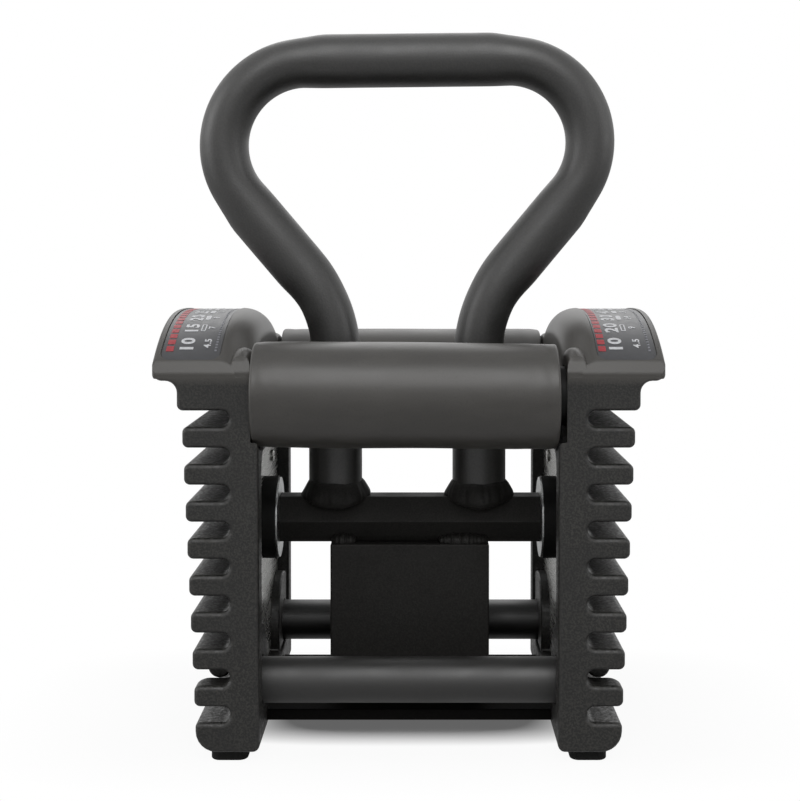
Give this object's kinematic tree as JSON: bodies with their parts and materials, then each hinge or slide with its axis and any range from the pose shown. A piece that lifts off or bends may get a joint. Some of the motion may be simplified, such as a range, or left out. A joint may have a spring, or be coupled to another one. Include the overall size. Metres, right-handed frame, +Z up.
{
  "type": "adjustable kettlebell core with handle",
  "caption": "Adjustable kettlebell core: bent tube handle on a hexagonal crossbar between two comb-shaped end housings with foam-padded upper rods.",
  "frame": {"origin": "on the floor, below the middle of the crossbar", "axes": "+Z up; X along the crossbar, with the left housing at -X; -Y is the front"},
  "size_m": [0.219, 0.168, 0.3248],
  "materials": {
    "moulding": "fine textured black moulding",
    "side_steel": "satin dark grey plate",
    "label_sheet": "satin printed sheet",
    "foot_rubber": "matt black rubber",
    "collar_black": "black",
    "zinc_ring": "bright zinc",
    "black_steel": "matt black powder coat",
    "textured_powder": "fine textured black powder coat",
    "satin_rod": "satin black powder coat",
    "pad_rod_steel": "plain dark tube",
    "foam": "matt closed-cell foam",
    "screw_steel": "bright steel"
  },
  "bodies": {
    "root": {"left_housing": "moulding", "right_housing": "moulding", "left_side_plate": "side_steel", "right_side_plate": "side_steel", "left_label": "label_sheet", "right_label": "label_sheet", "left_feet": "foot_rubber", "right_feet": "foot_rubber", "left_crossbar_collar": "collar_black", "right_crossbar_collar": "collar_black", "left_collar_ring": "zinc_ring", "right_collar_ring": "zinc_ring", "crossbar": "black_steel", "handle_loop": "textured_powder", "handle_welds": "black_steel", "counterweight": "black_steel", "counterweight_welds": "black_steel", "front_lower_rod": "satin_rod", "rear_lower_rod": "satin_rod", "front_pad_rod": "pad_rod_steel", "rear_pad_rod": "pad_rod_steel", "front_pad": "foam", "rear_pad": "foam", "base_plate": "black_steel", "side_plate_screws": "screw_steel"}
  },
  "joints": []
}
